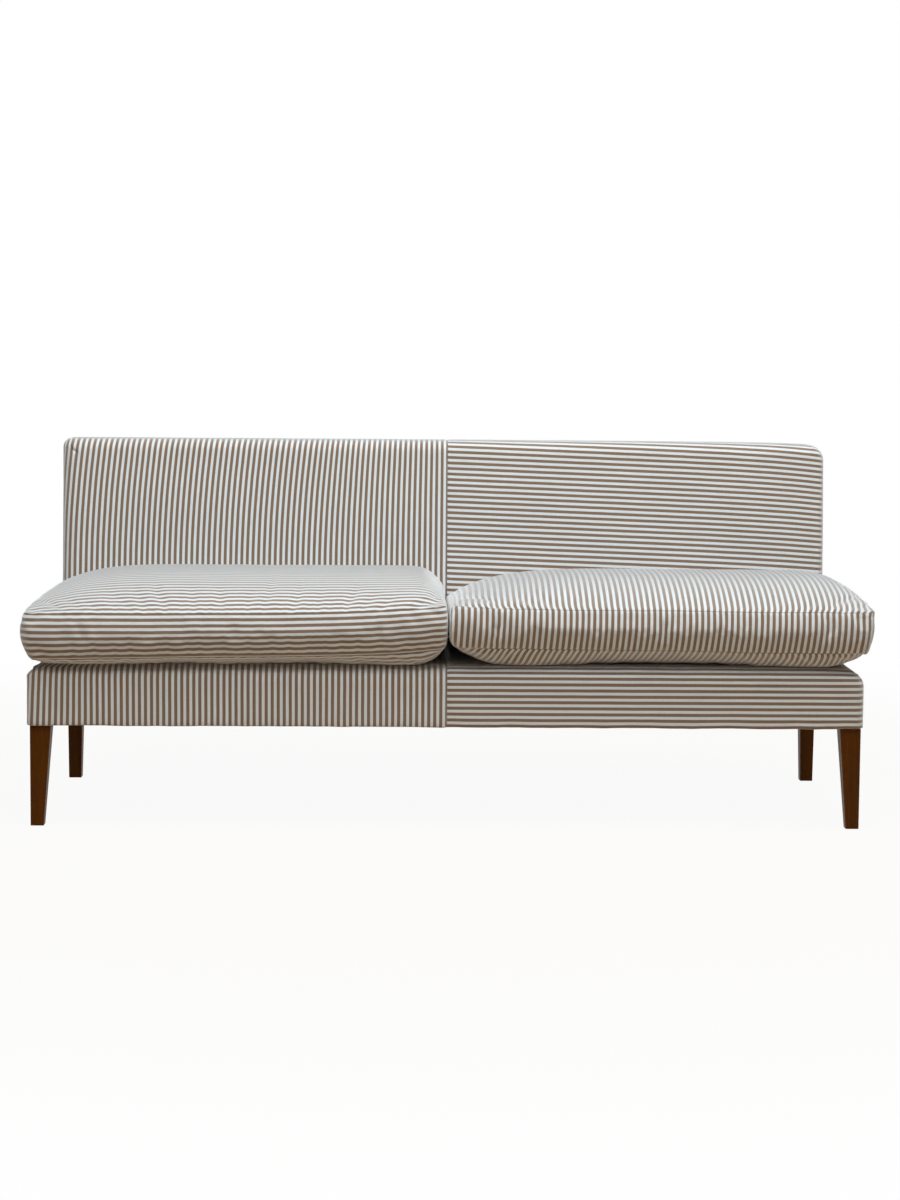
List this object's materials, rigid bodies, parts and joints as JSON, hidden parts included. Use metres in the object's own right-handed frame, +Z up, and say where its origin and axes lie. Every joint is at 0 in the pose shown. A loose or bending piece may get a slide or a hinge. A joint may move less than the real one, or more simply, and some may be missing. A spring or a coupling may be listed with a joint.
{
  "type": "upholstered banquette",
  "caption": "Armless upholstered banquette with a low straight back, box seat, loose box cushions, tapered dark wooden legs and ticking-stripe covers set upright and across.",
  "frame": {"origin": "on the floor, midway between the ends and midway between the cushion fronts and the outside back", "axes": "+X to the right as one faces the banquette, +Y from the seat front to the back, +Z up"},
  "size_m": [1.82, 0.68, 0.815],
  "materials": {
    "ticking": "cotton ticking, bluish off-white with narrow brown stripes, plain weave",
    "stained_leg": "dark brown stain, satin",
    "frame_wood": "planed beech, bare",
    "tenon_wood": "beech, bare",
    "screw_steel": "zinc plated",
    "webbing": "jute and cotton webbing",
    "hessian": "open plain weave jute",
    "foam": "cut upholstery foam",
    "wadding": "fibre wadding",
    "cushion_pad": "cambric cased filling",
    "dust_cloth": "black bottoming cloth",
    "zip_tape": "coil zip on tape",
    "zip_metal": "plain metal"
  },
  "bodies": {
    "frame": {"seat_cover_left": "ticking", "seat_cover_right": "ticking", "back_cover_left": "ticking", "back_cover_right": "ticking", "outside_back_left": "ticking", "outside_back_right": "ticking", "front_left_leg": "stained_leg", "front_right_leg": "stained_leg", "rear_left_post": "stained_leg", "rear_right_post": "stained_leg", "front_seat_rail": "frame_wood", "rear_seat_rail": "frame_wood", "left_seat_rail": "frame_wood", "right_seat_rail": "frame_wood", "centre_cross_rail": "frame_wood", "front_corner_blocks": "frame_wood", "rear_corner_blocks": "frame_wood", "centre_back_post": "frame_wood", "back_top_rail": "frame_wood", "back_lower_rail": "frame_wood", "seat_tenons": "tenon_wood", "back_tenons": "tenon_wood", "corner_block_screws": "screw_steel", "seat_webbing_crosswise": "webbing", "seat_webbing_lengthwise": "webbing", "back_webbing_upright": "webbing", "back_webbing_across": "webbing", "seat_hessian": "hessian", "back_hessian": "hessian", "seat_foam": "foam", "back_foam": "foam", "rail_wadding": "wadding", "dust_cover": "dust_cloth"},
    "left_cushion": {"left_cushion_cover": "ticking", "left_cushion_pad": "cushion_pad", "left_cushion_zip": "zip_tape"},
    "right_cushion": {"right_cushion_cover": "ticking", "right_cushion_pad": "cushion_pad", "right_cushion_zip": "zip_tape"},
    "left_zip_slider": {"left_zip_slider": "zip_metal"},
    "right_zip_slider": {"right_zip_slider": "zip_metal"}
  },
  "joints": [
    {"name": "left_cushion_lift", "type": "slide", "parent": "frame", "child": "left_cushion", "axis": [0, 0, 1], "range_m": [0, 0.5]},
    {"name": "right_cushion_lift", "type": "slide", "parent": "frame", "child": "right_cushion", "axis": [0, 0, 1], "range_m": [0, 0.5]},
    {"name": "left_zip_slide", "type": "slide", "parent": "left_cushion", "child": "left_zip_slider", "axis": [1, 0, 0], "range_m": [0, 0.64]},
    {"name": "right_zip_slide", "type": "slide", "parent": "right_cushion", "child": "right_zip_slider", "axis": [-1, 0, 0], "range_m": [0, 0.64]}
  ]
}
